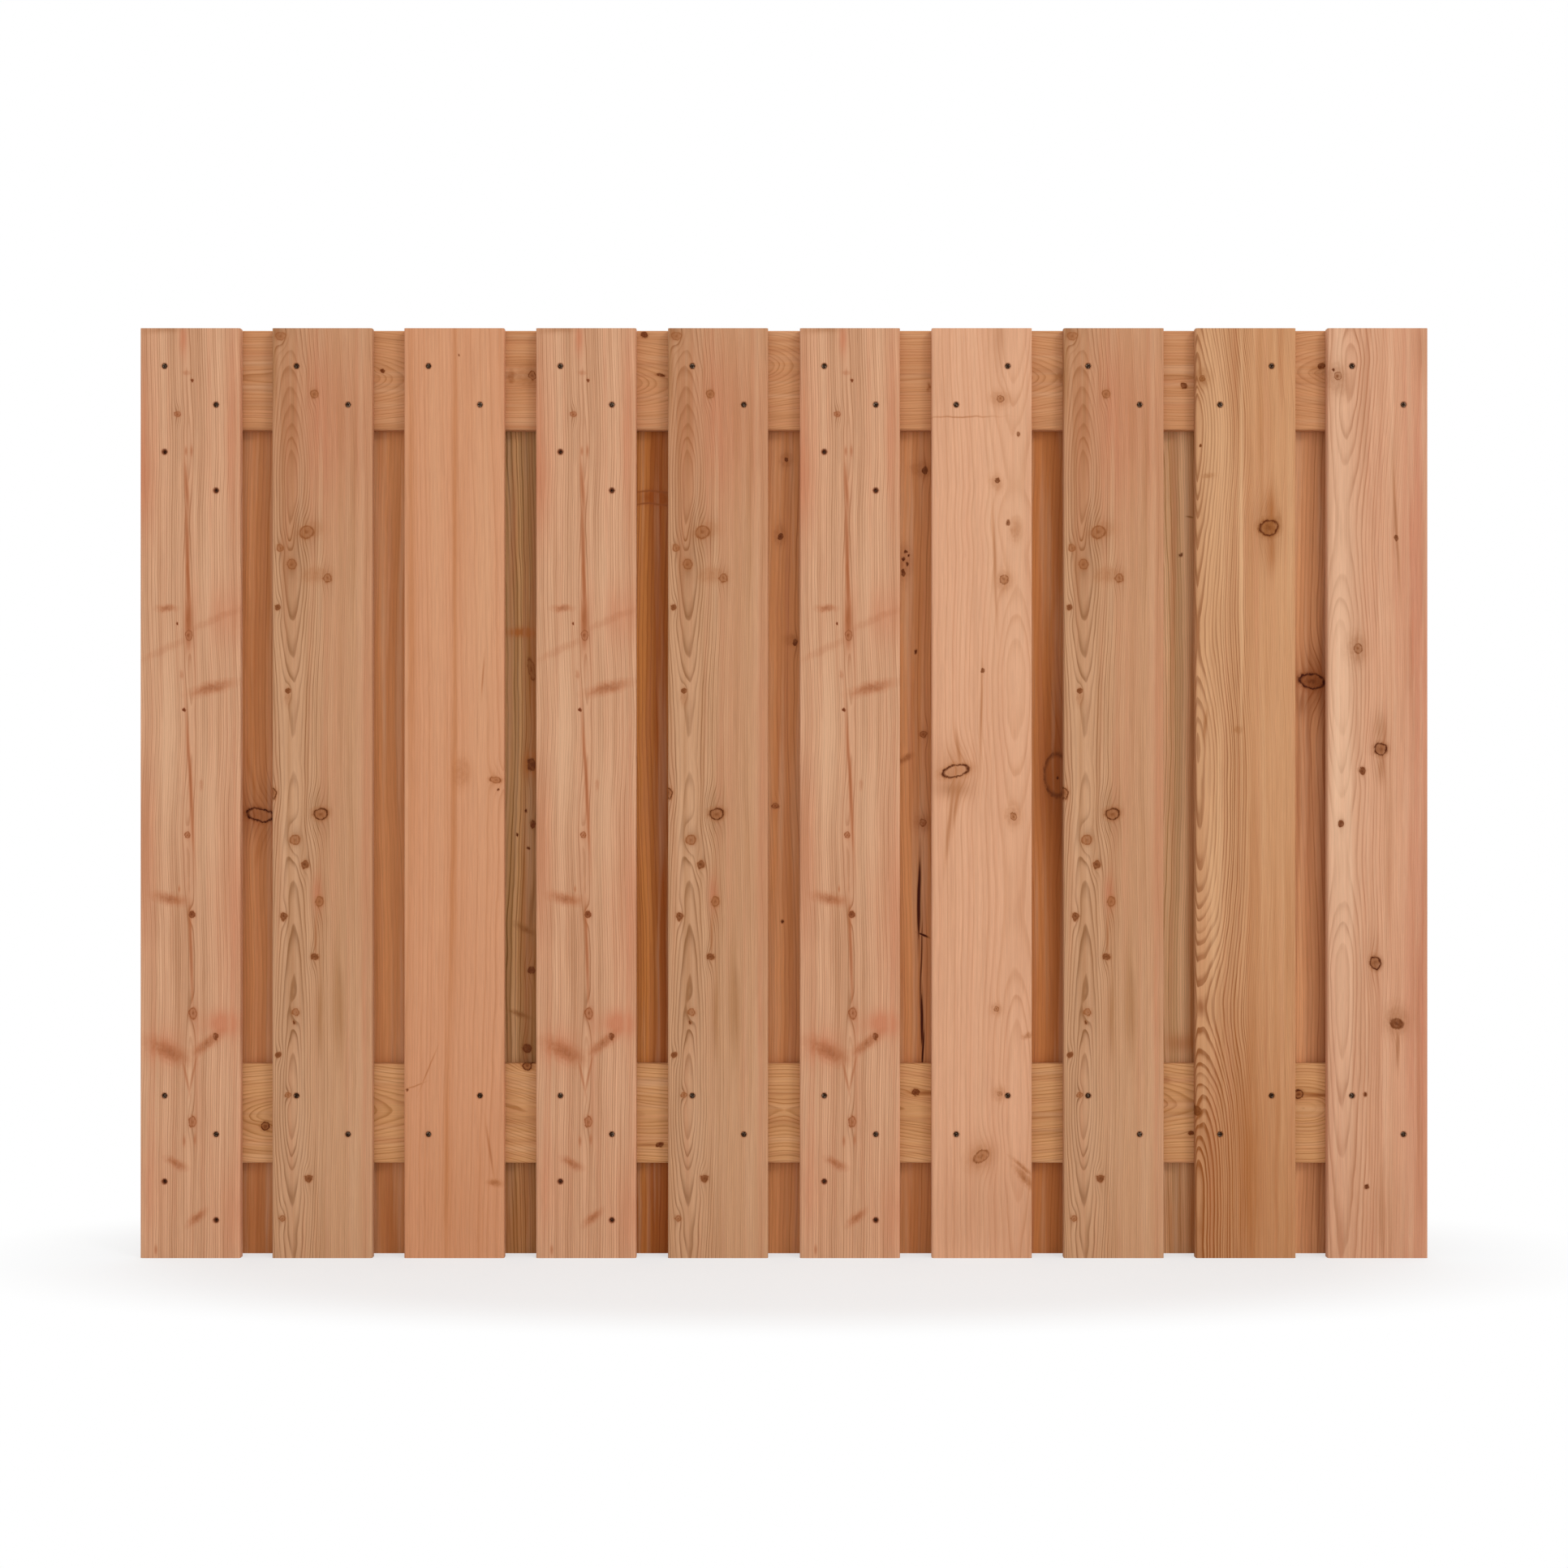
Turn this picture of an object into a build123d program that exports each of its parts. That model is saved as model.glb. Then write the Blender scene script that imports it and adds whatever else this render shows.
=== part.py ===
"""Hit-and-miss timber fence panel.

Upright planed boards are screwed to both faces of two lying rails. The front row fills the panel from
edge to edge with an even gap between neighbours, and the back row covers those gaps, so the panel can't
be seen through from either side. Every board is held by a slanting pair of countersunk screws at each
rail.

Frame: millimetres, +X along the panel, -Y towards the front, +Z up, with the origin on the ground under
the middle of the panel.
"""

import os

from build123d import *

# Panel
panel_width = 1800.0
panel_height = 1300.0
nominal_gap = 44.0  # between neighbours in a row, before the row is spread to fill the width

# Upright boards
board_width = 140.0
board_thickness = 16.0
board_edge_radius = 3.0

# Lying rails
rail_width = 140.0
rail_thickness = 16.0
rail_edge_radius = 3.0
bottom_rail_height = 130.0  # from the ground to the underside of the bottom rail

# Countersunk screws
screw_diameter = 4.0
screw_head_diameter = 7.0
screw_point = 5.0  # length of the tapered point
screw_tip_diameter = 1.0
screw_sink = 1.0  # depth of the head below the board's face
screw_cover = 1.0  # wood left between the point and the far face of the rail
screw_clearance = 0.05  # all round the screw in its hole
screw_sides = 6  # flats round each screw and hole, which touch the true circle
hole_start = 1.0  # of a hole's funnel in front of the face, so that it opens cleanly

# Where the screws go
screw_board_edge = 34.0  # from the board's long edge to a screw
screw_rail_edge = 43.0  # from the rail's long edge to a screw
top_pair_drop = 10.0  # of the screw pairs below the middle of the top rail
rising_pairs = {"top": (7, 9), "bottom": (3, 7, 9)}  # front boards whose pair rises to the right

# Front boards that were screwed on once before, the other way up, and still have those holes
turned_boards = (1, 4, 6)
old_hole_depth = 10.0

# Sizes that follow
front_count = round((panel_width + nominal_gap) / (board_width + nominal_gap))
pitch = (panel_width - board_width) / (front_count - 1)
front_centres = [(i - (front_count - 1) / 2) * pitch for i in range(front_count)]
back_centres = [x + pitch / 2 for x in front_centres[:-1]]

front_face = -(board_thickness + rail_thickness / 2)
board_middle = (board_thickness + rail_thickness) / 2
rail_middles = {"top": panel_height - rail_width / 2, "bottom": bottom_rail_height + rail_width / 2}
pair_middles = {"top": rail_middles["top"] - top_pair_drop, "bottom": rail_middles["bottom"]}

shank_radius = screw_diameter / 2
head_radius = screw_head_diameter / 2
tip_radius = screw_tip_diameter / 2
cone_height = head_radius - shank_radius  # of a 90 degree countersunk head
screw_length = board_thickness + rail_thickness - screw_sink - screw_cover
screw_across = board_width / 2 - screw_board_edge
screw_rise = rail_width / 2 - screw_rail_edge


def planed_length(width, thickness, edge_radius, length):
    """A planed length of timber with rounded long edges, standing on end on the XY plane."""
    return extrude(RectangleRounded(width, thickness, edge_radius), length)


def turned_form(*rings):
    """A many-sided turned form along +Y, through rings given as radius and distance along the axis."""
    sections = [
        Plane.XZ.offset(-distance) * RegularPolygon(radius, screw_sides, major_radius=False)
        for radius, distance in rings
    ]
    return loft(sections, ruled=True)


def countersunk_screw():
    """A screw along +Y, with the top of its head on the XZ plane."""
    return turned_form(
        (head_radius, 0),
        (shank_radius, cone_height),
        (shank_radius, screw_length - screw_point),
        (tip_radius, screw_length),
    )


def screw_hole(depth):
    """What a screw takes out of the timber: a funnel from the face down, then a straight hole."""
    mouth = -(screw_sink + hole_start)
    return turned_form(
        (head_radius - mouth + screw_clearance, mouth),
        (shank_radius + screw_clearance, cone_height),
        (shank_radius + screw_clearance, depth),
    )


def screw_pairs(centre, number, row):
    """The spots (x, z) of a board's screws, by rail."""
    spots = {}
    for rail, middle in pair_middles.items():
        slant = -1 if row == "front" and number in rising_pairs[rail] else 1
        spots[rail] = [(centre - side * screw_across, middle + side * slant * screw_rise) for side in (1, -1)]
    return spots


def placed(tool, spot, row):
    """A screw or a hole at its spot on the front of the panel, or turned round to the back."""
    facing = Rotation(0, 0, 0 if row == "front" else 180)
    depth = front_face + screw_sink
    return Pos(spot[0], depth if row == "front" else -depth, spot[1]) * facing * tool


screw = countersunk_screw()
hole = screw_hole(screw_length + screw_clearance)
old_hole = screw_hole(old_hole_depth)
nodes = {}
rail_holes = {"top": [], "bottom": []}

for row, centres, middle in (("front", front_centres, -board_middle), ("back", back_centres, board_middle)):
    screws = {"top": [], "bottom": []}
    for number, centre in enumerate(centres, start=1):
        board = Pos(centre, middle, 0) * planed_length(
            board_width, board_thickness, board_edge_radius, panel_height
        )
        cuts = []
        for rail, spots in screw_pairs(centre, number, row).items():
            holes = [placed(hole, spot, row) for spot in spots]
            cuts += holes
            rail_holes[rail] += holes
            screws[rail] += [placed(screw, spot, row) for spot in spots]
            if row == "front" and number in turned_boards:
                turned = [(2 * centre - x, panel_height - z) for x, z in spots]
                cuts += [placed(old_hole, spot, row) for spot in turned]
        nodes[f"{row}_board_{number:02d}"] = board - cuts
    for rail, group in screws.items():
        nodes[f"{row}_{rail}_screws"] = Compound(group)

for rail, middle in rail_middles.items():
    timber = planed_length(rail_width, rail_thickness, rail_edge_radius, panel_width)
    lying = Pos(-panel_width / 2, 0, middle) * Rotation(0, 90, 0) * timber
    nodes[f"{rail}_rail"] = lying - rail_holes[rail]

os.makedirs("parts", exist_ok=True)
for name, shape in nodes.items():
    export_step(shape, f"parts/{name}.step")
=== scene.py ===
"""Looks of the hit-and-miss fence panel: planed softwood boards, stainless screws and a plain white studio."""

import logging
import math
from dataclasses import dataclass, replace
from enum import Enum
from typing import Union

import bmesh
import bpy
from mathutils import Matrix, Vector

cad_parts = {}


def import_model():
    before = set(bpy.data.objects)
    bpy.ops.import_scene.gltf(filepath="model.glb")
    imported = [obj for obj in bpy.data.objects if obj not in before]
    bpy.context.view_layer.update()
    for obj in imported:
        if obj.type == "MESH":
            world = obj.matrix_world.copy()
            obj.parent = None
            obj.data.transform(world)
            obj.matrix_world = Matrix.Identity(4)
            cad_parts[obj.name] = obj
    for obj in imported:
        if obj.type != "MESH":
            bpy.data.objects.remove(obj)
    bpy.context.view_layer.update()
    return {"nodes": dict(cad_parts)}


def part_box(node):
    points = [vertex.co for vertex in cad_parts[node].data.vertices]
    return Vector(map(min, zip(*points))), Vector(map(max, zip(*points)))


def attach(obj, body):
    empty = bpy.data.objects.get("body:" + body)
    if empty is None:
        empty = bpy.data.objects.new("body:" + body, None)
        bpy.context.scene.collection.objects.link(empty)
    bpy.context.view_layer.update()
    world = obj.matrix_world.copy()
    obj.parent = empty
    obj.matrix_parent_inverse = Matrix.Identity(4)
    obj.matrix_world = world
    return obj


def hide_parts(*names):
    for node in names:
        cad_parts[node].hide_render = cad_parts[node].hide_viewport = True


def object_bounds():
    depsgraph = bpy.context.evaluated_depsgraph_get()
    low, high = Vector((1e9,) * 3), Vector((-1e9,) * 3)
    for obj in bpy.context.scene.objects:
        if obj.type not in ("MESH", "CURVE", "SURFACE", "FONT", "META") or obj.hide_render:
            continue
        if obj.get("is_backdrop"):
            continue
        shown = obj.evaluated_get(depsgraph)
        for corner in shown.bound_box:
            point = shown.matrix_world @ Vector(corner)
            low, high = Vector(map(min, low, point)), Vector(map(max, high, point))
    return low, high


LOG = logging.getLogger("fence_panel")

MM = 0.001
BODY = "root"
TOUCHING = 1e-4  # distance in mm at which points are one

Value = Union[bpy.types.NodeSocket, float, tuple, None]


class KnotKind(Enum):
    """How a knot, pin or resin streak shows on a planed face."""

    LIVE = "grown into the wood, soft edge"
    LOOSE = "a thin dark bark ring round pale wood"
    RINGED = "a dark bark ring round a brown heart"
    DEAD = "dark all over"
    PIN = "a small dark dot"
    SPIKE = "a branch cut along its length"
    RESIN = "a resin streak along the grain"
    CRACK = "a drying crack along the grain"
    FAINT = "a branch just under the face"
    # The kind below is a dark disc at each screw and each old screw hole: partly crushed, darkened wood, partly
    # painted shade in the countersunk recess.
    CRUSH_AND_SHADE = "crushed, darkened wood round a screw"


class Side(Enum):
    """Rows of boards."""

    FRONT = "front"
    BACK = "back"


class Height(Enum):
    """Rails."""

    TOP = "top"
    BOTTOM = "bottom"


class Tint(Enum):
    """Which way a patch of wood leans in colour."""

    ROSE = 0
    BROWN = 1
    PALE = 2


@dataclass(frozen=True)
class Knot:
    """One knot on a board, in millimetres from the board's middle line and lower end.

    Attributes:
        across: distance from the middle line, to the right.
        along: distance from the lower end.
        width: size across the board.
        height: size along the board.
        kind: how it shows.
        tilt: degrees that its right end rises.
        strength: how much of it shows.
    """

    across: float
    along: float
    width: float
    height: float
    kind: KnotKind
    tilt: float = 0.0
    strength: float = 1.0

    def look(self) -> tuple[tuple[float, tuple[float, ...]], ...]:
        """Its kind's look, as weak or strong as this one shows."""
        return tuple(
            (reach, tuple(self.strength * amount for amount in amounts)) for reach, amounts in KNOT_LOOKS[self.kind]
        )


@dataclass(frozen=True)
class Patch:
    """A soft patch of another tone, placed as a knot is; a few of them are painted shade."""

    across: float
    along: float
    width: float
    height: float
    tint: Tint
    strength: float
    tilt: float = 0.0


@dataclass(frozen=True)
class Tone:
    """Colours of one stem, as sRGB hex."""

    early: str
    late: str
    knot: str = "8f5330"
    bark: str = "3a1c0e"
    halo: str = "b06a42"
    rose: str = "c07a58"
    brown: str = "9c6238"
    pale: str = "dcb08c"


@dataclass(frozen=True)
class Figure:
    """How a board was cut from its stem, and what shows on it.

    Attributes:
        tone: colours of the stem.
        heart: stations of the pith as fractions of the length, each with its place across the board and its
            distance in front of the face, in mm.
        ring: width of a year ring near the pith, in mm.
        narrowing: how much closer the rings lie further out, for each mm of radius.
        contrast: strength of the late wood, from 0 to 1.
        fade: where across the board the late wood starts and stops to fade, in mm, and what is left of it.
        band: how far broad bands of rings differ in tone.
        mottle: strength of the long soft streaks.
        seed: start of the random fields.
        knots: the knots.
        patches: the patches of other tones.
    """

    tone: Tone
    heart: tuple[tuple[float, float, float], ...]
    ring: float
    contrast: float
    narrowing: float = 0.0
    fade: tuple[float, float, float] = (0.0, 1.0, 1.0)
    band: float = 0.5
    mottle: float = 0.6
    seed: float = 0.0
    knots: tuple[Knot, ...] = ()
    patches: tuple[Patch, ...] = ()


LIVE = KnotKind.LIVE
LOOSE = KnotKind.LOOSE
RINGED = KnotKind.RINGED
DEAD = KnotKind.DEAD
PIN = KnotKind.PIN
SPIKE = KnotKind.SPIKE
RESIN = KnotKind.RESIN
CRACK = KnotKind.CRACK
FAINT = KnotKind.FAINT
CRUSH_AND_SHADE = KnotKind.CRUSH_AND_SHADE

# Reach of a knot's look, as stops of squared distance (0.25 is its own edge), each with how much of the
# knot's heart, of dark bark and of reddish halo shows there
KNOT_LOOKS: dict[KnotKind, tuple[tuple[float, tuple[float, float, float]], ...]] = {
    LIVE: (
        (0.0, (0.80, 0.15, 0.9)),
        (0.02, (0.60, 0.0, 0.9)),
        (0.06, (0.40, 0.0, 0.9)),
        (0.14, (0.38, 0.0, 0.9)),
        (0.20, (0.85, 0.14, 0.9)),
        (0.25, (0.75, 0.06, 0.9)),
        (0.30, (0.22, 0.0, 0.6)),
        (0.42, (0.02, 0.0, 0.25)),
        (0.8, (0.0, 0.0, 0.0)),
    ),
    LOOSE: (
        (0.0, (0.15, 0.0, 0.3)),
        (0.14, (0.12, 0.0, 0.3)),
        (0.19, (0.60, 0.50, 0.6)),
        (0.23, (0.95, 0.95, 0.9)),
        (0.27, (0.80, 0.60, 0.9)),
        (0.31, (0.30, 0.05, 0.7)),
        (0.42, (0.05, 0.0, 0.35)),
        (0.8, (0.0, 0.0, 0.0)),
    ),
    RINGED: (
        (0.0, (0.80, 0.25, 0.8)),
        (0.04, (0.62, 0.05, 0.8)),
        (0.12, (0.55, 0.0, 0.8)),
        (0.17, (0.70, 0.25, 0.8)),
        (0.21, (0.95, 0.85, 0.9)),
        (0.26, (0.95, 0.85, 1.0)),
        (0.30, (0.45, 0.12, 0.8)),
        (0.42, (0.10, 0.0, 0.4)),
        (0.8, (0.0, 0.0, 0.0)),
    ),
    DEAD: (
        (0.0, (0.95, 0.60, 0.9)),
        (0.05, (0.95, 0.30, 0.9)),
        (0.14, (0.95, 0.30, 1.0)),
        (0.20, (0.95, 0.50, 1.0)),
        (0.25, (0.90, 0.30, 1.0)),
        (0.30, (0.45, 0.05, 0.7)),
        (0.42, (0.06, 0.0, 0.3)),
        (0.8, (0.0, 0.0, 0.0)),
    ),
    PIN: (
        (0.0, (1.0, 0.70, 0.7)),
        (0.14, (1.0, 0.45, 0.6)),
        (0.30, (0.30, 0.0, 0.4)),
        (0.6, (0.0, 0.0, 0.0)),
    ),
    SPIKE: (
        (0.0, (0.50, 0.04, 0.9)),
        (0.05, (0.36, 0.0, 0.9)),
        (0.14, (0.24, 0.0, 0.8)),
        (0.25, (0.12, 0.0, 0.6)),
        (0.4, (0.03, 0.0, 0.35)),
        (0.9, (0.0, 0.0, 0.0)),
    ),
    RESIN: (
        (0.0, (0.30, 0.0, 0.8)),
        (0.12, (0.15, 0.0, 0.65)),
        (0.40, (0.0, 0.0, 0.25)),
        (0.9, (0.0, 0.0, 0.0)),
    ),
    CRACK: (
        (0.0, (1.0, 1.0, 0.6)),
        (0.20, (1.0, 0.85, 0.6)),
        (0.40, (0.30, 0.10, 0.4)),
        (1.0, (0.0, 0.0, 0.0)),
    ),
    FAINT: (
        (0.0, (0.15, 0.0, 0.55)),
        (0.20, (0.10, 0.0, 0.4)),
        (0.45, (0.0, 0.0, 0.18)),
        (1.0, (0.0, 0.0, 0.0)),
    ),
    # dark disc round a screw: partly crushed wood, partly painted shade in the countersunk recess
    CRUSH_AND_SHADE: (
        (0.0, (0.80, 0.80, 0.0)),
        (0.20, (0.80, 0.70, 0.0)),
        (0.32, (0.40, 0.15, 0.3)),
        (0.5, (0.10, 0.0, 0.1)),
        (0.8, (0.0, 0.0, 0.0)),
    ),
}

# Kinds that the year rings flow round
BENDING = {LIVE, LOOSE, RINGED, DEAD}

# Kinds with a clean edge
CLEAN = {CRUSH_AND_SHADE, CRACK, RESIN}

# Late wood through one year ring, from its start to the next
RING_PROFILE = ((0.0, 0.0), (0.45, 0.05), (0.65, 0.45), (0.82, 1.0), (0.92, 0.9), (1.0, 0.0))

PINK = Tone(early="dca985", late="9c6742", knot="93532d", bark="5a1f06", halo="b76c42", rose="c77d5a")
TAN = Tone(early="cb9a74", late="855630", knot="93562e", bark="5c2c0e", halo="ab6a3c", brown="96602f")
ORANGE = Tone(early="d39771", late="ae6c40", knot="965630", bark="562208", halo="b46e3c", rose="cb8b63", brown="b26a34", pale="d8a780")
PEACH = Tone(early="dea885", late="b87b52", knot="925630", bark="501e06", halo="b5723f")
HONEY = Tone(early="ca9469", late="8c5026", knot="8a4e20", bark="5a2406", halo="9e602c", brown="a05c26", pale="e0b185")
ROSE = Tone(early="d7a17f", late="a0623c", knot="8a4f2a", bark="4e1a04", halo="a2673a", rose="c0775a", pale="e9bf9d")
BACK = Tone(early="db9560", late="9a5327", knot="8a4a22", bark="421004", halo="a45c30", brown="b0642c")
RAIL = Tone(early="ce9366", late="9c5e2d", knot="7d3f18", bark="4e1a02", halo="a4612d")

PITH_FIGURE = Figure(
    tone=PINK,
    heart=(
        (0.0, -3, 4),
        (0.17, -1, 2),
        (0.32, 2, 6),
        (0.46, -3, 3),
        (0.57, 2, 5),
        (0.69, -3, 2),
        (0.80, -4, 7),
        (0.87, -2, 3),
        (1.0, -6, 6),
    ),
    ring=3.0,
    contrast=0.6,
    seed=3.0,
    knots=(
        Knot(-5, 1238, 10, 6, FAINT),
        Knot(3, 1228, 3.5, 5, PIN),
        Knot(-18, 1180, 9, 7, LIVE),
        Knot(-6, 1127, 3.5, 12, RESIN),
        Knot(2, 1127, 3.5, 14, RESIN),
        Knot(-5, 1075, 5, 60, RESIN, 4, 1.4),
        Knot(-3.5, 955, 5, 170, RESIN, 1, 1.8),
        Knot(-2.5, 893, 9, 70, RESIN, 0, 1.8),
        Knot(-2, 872, 10, 14, LIVE),
        Knot(-33, 908, 22, 8, SPIKE),
        Knot(-18, 887, 3, 4, PIN),
        Knot(34, 893, 70, 9, FAINT, 22, 0.6),
        Knot(-34, 852, 60, 9, FAINT, 26, 0.6),
        Knot(30, 797, 50, 13, SPIKE, 15),
        Knot(-8.5, 767, 5, 4, PIN),
        Knot(-12, 816, 5, 10, FAINT),
        Knot(0, 665, 4, 170, RESIN, 3, 1.6),
        Knot(-3, 592, 7, 9, LIVE),
        Knot(15, 662, 4, 12, FAINT),
        Knot(-28, 502, 38, 13, SPIKE, -12),
        Knot(-15, 516, 3, 9, RESIN),
        Knot(2.5, 479, 9, 8, DEAD),
        Knot(1, 430, 4, 120, RESIN, 2, 1.5),
        Knot(4, 342, 11, 16, LIVE),
        Knot(35, 309, 8, 9, DEAD),
        Knot(23, 299, 40, 12, SPIKE, 37),
        Knot(-29, 289, 50, 20, SPIKE, -28),
        Knot(-6, 256, 3, 52, RESIN, 12),
        Knot(4, 258, 3, 52, RESIN, -12),
        Knot(3, 192, 9, 15, LIVE),
        Knot(-8, 164, 3.5, 12, RESIN),
        Knot(6, 167, 3, 14, RESIN),
        Knot(-19, 132, 24, 10, SPIKE, -25),
        Knot(9, 57, 26, 9, SPIKE, 42),
        Knot(-48, 12, 4, 12, RESIN),
    ),
    patches=(
        Patch(-38, 1297, 50, 10, Tint.BROWN, 0.5),
        Patch(-10, 1284, 13, 50, Tint.ROSE, 0.7),
        Patch(-66, 1080, 34, 160, Tint.ROSE, 0.6),
        Patch(48, 900, 60, 90, Tint.ROSE, 0.55),
        Patch(62, 1150, 30, 320, Tint.ROSE, 0.5),
        Patch(-64, 1200, 24, 240, Tint.ROSE, 0.35),
        Patch(62, 480, 40, 300, Tint.ROSE, 0.5),
        Patch(-62, 560, 36, 300, Tint.ROSE, 0.45),
        Patch(44, 327, 56, 40, Tint.ROSE, 0.95),
        Patch(-40, 295, 64, 56, Tint.ROSE, 0.6),
        Patch(-55, 100, 50, 160, Tint.ROSE, 0.35),
        Patch(60, 60, 40, 160, Tint.ROSE, 0.45),
        Patch(-30, 720, 30, 300, Tint.PALE, 0.45),
        Patch(22, 920, 26, 200, Tint.PALE, 0.35),
        Patch(28, 640, 26, 240, Tint.PALE, 0.35),
    ),
)

CATHEDRAL_FIGURE = Figure(
    tone=TAN,
    heart=(
        (0.0, -41, 26),
        (0.10, -42, 18),
        (0.175, -41, 13),
        (0.36, -40, 22),
        (0.545, -42, 31),
        (0.69, -42, 22),
        (0.832, -42, 12),
        (0.92, -44, 22),
        (1.0, -46, 32),
    ),
    ring=3.0,
    narrowing=0.002,
    contrast=0.75,
    band=0.25,
    fade=(-25.0, 30.0, 0.5),
    seed=11.0,
    knots=(
        Knot(-58, 1289, 14, 11, LIVE, 0, 0.8),
        Knot(-11, 1208, 10, 11, LIVE),
        Knot(-21.5, 1014, 21, 17, LIVE, 15),
        Knot(-18, 1016, 34, 20, FAINT, 20),
        Knot(-58, 992, 9, 9, LIVE),
        Knot(-43, 970, 13, 14, LIVE),
        Knot(7, 950, 12, 12, LIVE),
        Knot(-8, 955, 34, 18, FAINT),
        Knot(-62, 910, 7.5, 7.5, DEAD),
        Knot(-48, 795, 7.5, 7.5, DEAD),
        Knot(-48, 784, 9, 16, FAINT),
        Knot(-68.5, 650, 10, 15, RINGED),
        Knot(-2, 622, 20, 16, RINGED, 10),
        Knot(-37.5, 586, 14, 13, LIVE),
        Knot(-24, 550, 10, 10, DEAD),
        Knot(-4, 499, 11, 14, LIVE),
        Knot(-53.5, 478, 8.5, 9.5, DEAD),
        Knot(-9, 448, 4, 60, RESIN),
        Knot(-10.5, 421, 11, 9, DEAD),
        Knot(-37, 344, 10, 10, LIVE),
        Knot(-40, 330, 4, 5, PIN),
        Knot(-61, 284, 7.5, 7.5, DEAD),
        Knot(-47, 229, 8, 7, LIVE),
        Knot(-19.5, 111, 9.5, 9.5, DEAD),
        Knot(-55.5, 56, 9, 9, LIVE),
    ),
    patches=(
        Patch(-68, 1240, 12, 160, Tint.BROWN, 0.6),
        Patch(0, 1180, 190, 300, Tint.ROSE, 0.55),
        Patch(-45, 1180, 40, 280, Tint.BROWN, 0.3),
        Patch(-7, 510, 16, 60, Tint.ROSE, 0.8),
        Patch(-4, 338, 9, 120, Tint.BROWN, 0.5),
        Patch(24, 345, 14, 170, Tint.BROWN, 0.5),
        Patch(62, 650, 22, 900, Tint.ROSE, 0.5),
        Patch(22, 780, 40, 500, Tint.ROSE, 0.2),
        Patch(-30, 200, 60, 300, Tint.PALE, 0.2),
    ),
)

PLAIN_FIGURE = Figure(
    tone=ORANGE,
    heart=((0.0, 92, 60), (0.5, 96, 68), (1.0, 90, 64)),
    ring=5.0,
    contrast=0.3,
    band=0.25,
    mottle=0.3,
    seed=23.0,
    knots=(
        Knot(7, 1262, 3, 3, PIN),
        Knot(11, 679, 22, 34, FAINT),
        Knot(58, 668, 16, 9, LIVE),
        Knot(62, 655, 3, 3, PIN),
        Knot(40, 813, 2.5, 46, RESIN, -4),
        Knot(57, 105, 17, 8, SPIKE),
        Knot(50, 150, 3, 66, RESIN, 8),
        Knot(-66, 234, 4, 4, PIN),
        Knot(-36, 264, 2, 50, RESIN, -22),
        Knot(-55, 240, 26, 2, RESIN, 20),
    ),
    patches=(
        Patch(1, 1000, 9, 1000, Tint.BROWN, 0.55),
        Patch(-3, 500, 9, 500, Tint.BROWN, 0.5, -0.6),
        Patch(-11, 160, 8, 400, Tint.BROWN, 0.5),
        Patch(-60, 950, 12, 900, Tint.BROWN, 0.4),
        Patch(-66, 250, 10, 700, Tint.BROWN, 0.25),
        Patch(40, 900, 40, 800, Tint.PALE, 0.3),
        Patch(-25, 1000, 22, 700, Tint.PALE, 0.25),
        # painted shade: the lower end of the board made a little browner and darker
        Patch(0, 60, 150, 260, Tint.BROWN, 0.2),
    ),
)

PEACH_FIGURE = Figure(
    tone=PEACH,
    heart=(
        (0.0, 48, 30),
        (0.19, 50, 22),
        (0.38, 46, 40),
        (0.62, 48, 24),
        (0.75, 47, 38),
        (0.79, 47, 34),
        (0.84, 46, 40),
        (1.0, 44, 20),
    ),
    ring=5.5,
    contrast=0.35,
    band=0.3,
    mottle=0.3,
    seed=31.0,
    knots=(
        Knot(26, 1202, 10, 9, LIVE, 20),
        Knot(26, 1202, 24, 18, FAINT),
        Knot(51, 1152, 5, 6, DEAD, 0, 0.8),
        Knot(22, 1088, 6, 7, DEAD),
        Knot(20, 1084, 14, 20, FAINT, 30),
        Knot(36, 1028, 5, 7, DEAD, 0, 0.8),
        Knot(18, 975, 4, 130, RESIN, 2),
        Knot(48, 1015, 15, 26, FAINT),
        Knot(31, 948, 12, 13, LIVE),
        Knot(31, 946, 22, 26, FAINT),
        Knot(1, 822, 4.5, 6, DEAD),
        Knot(-1, 765, 3.5, 120, RESIN, -1),
        Knot(-37, 681, 37, 17, LOOSE, 13),
        Knot(-45, 612, 5, 100, RESIN, -6),
        Knot(-36, 636, 6, 60, RESIN, -8),
        Knot(-33, 712, 5, 50, RESIN, 8),
        Knot(44, 618, 9, 11, LIVE),
        Knot(44, 618, 20, 24, FAINT),
        Knot(20, 347, 7, 7, LIVE),
        Knot(20, 347, 14, 14, FAINT),
        Knot(64, 312, 12, 6, SPIKE, 20),
        Knot(25, 230, 7, 7, LIVE, 0, 0.8),
        Knot(25, 230, 16, 16, FAINT),
        Knot(-1, 142, 24, 15, LIVE, 38),
        Knot(-1, 142, 34, 26, FAINT, 38),
        Knot(60, 112, 34, 10, SPIKE, -50),
        Knot(56, 128, 30, 5, SPIKE, -40),
        Knot(-30, 1176, 90, 2, RESIN, 1),
    ),
    patches=(
        Patch(25, 1290, 18, 80, Tint.BROWN, 0.4),
        Patch(40, 1000, 60, 500, Tint.PALE, 0.2),
        # painted shade: the lower end of the board made a little browner and darker
        Patch(0, 60, 150, 160, Tint.BROWN, 0.2),
        Patch(-40, 655, 50, 26, Tint.BROWN, 0.5),
    ),
)

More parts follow.
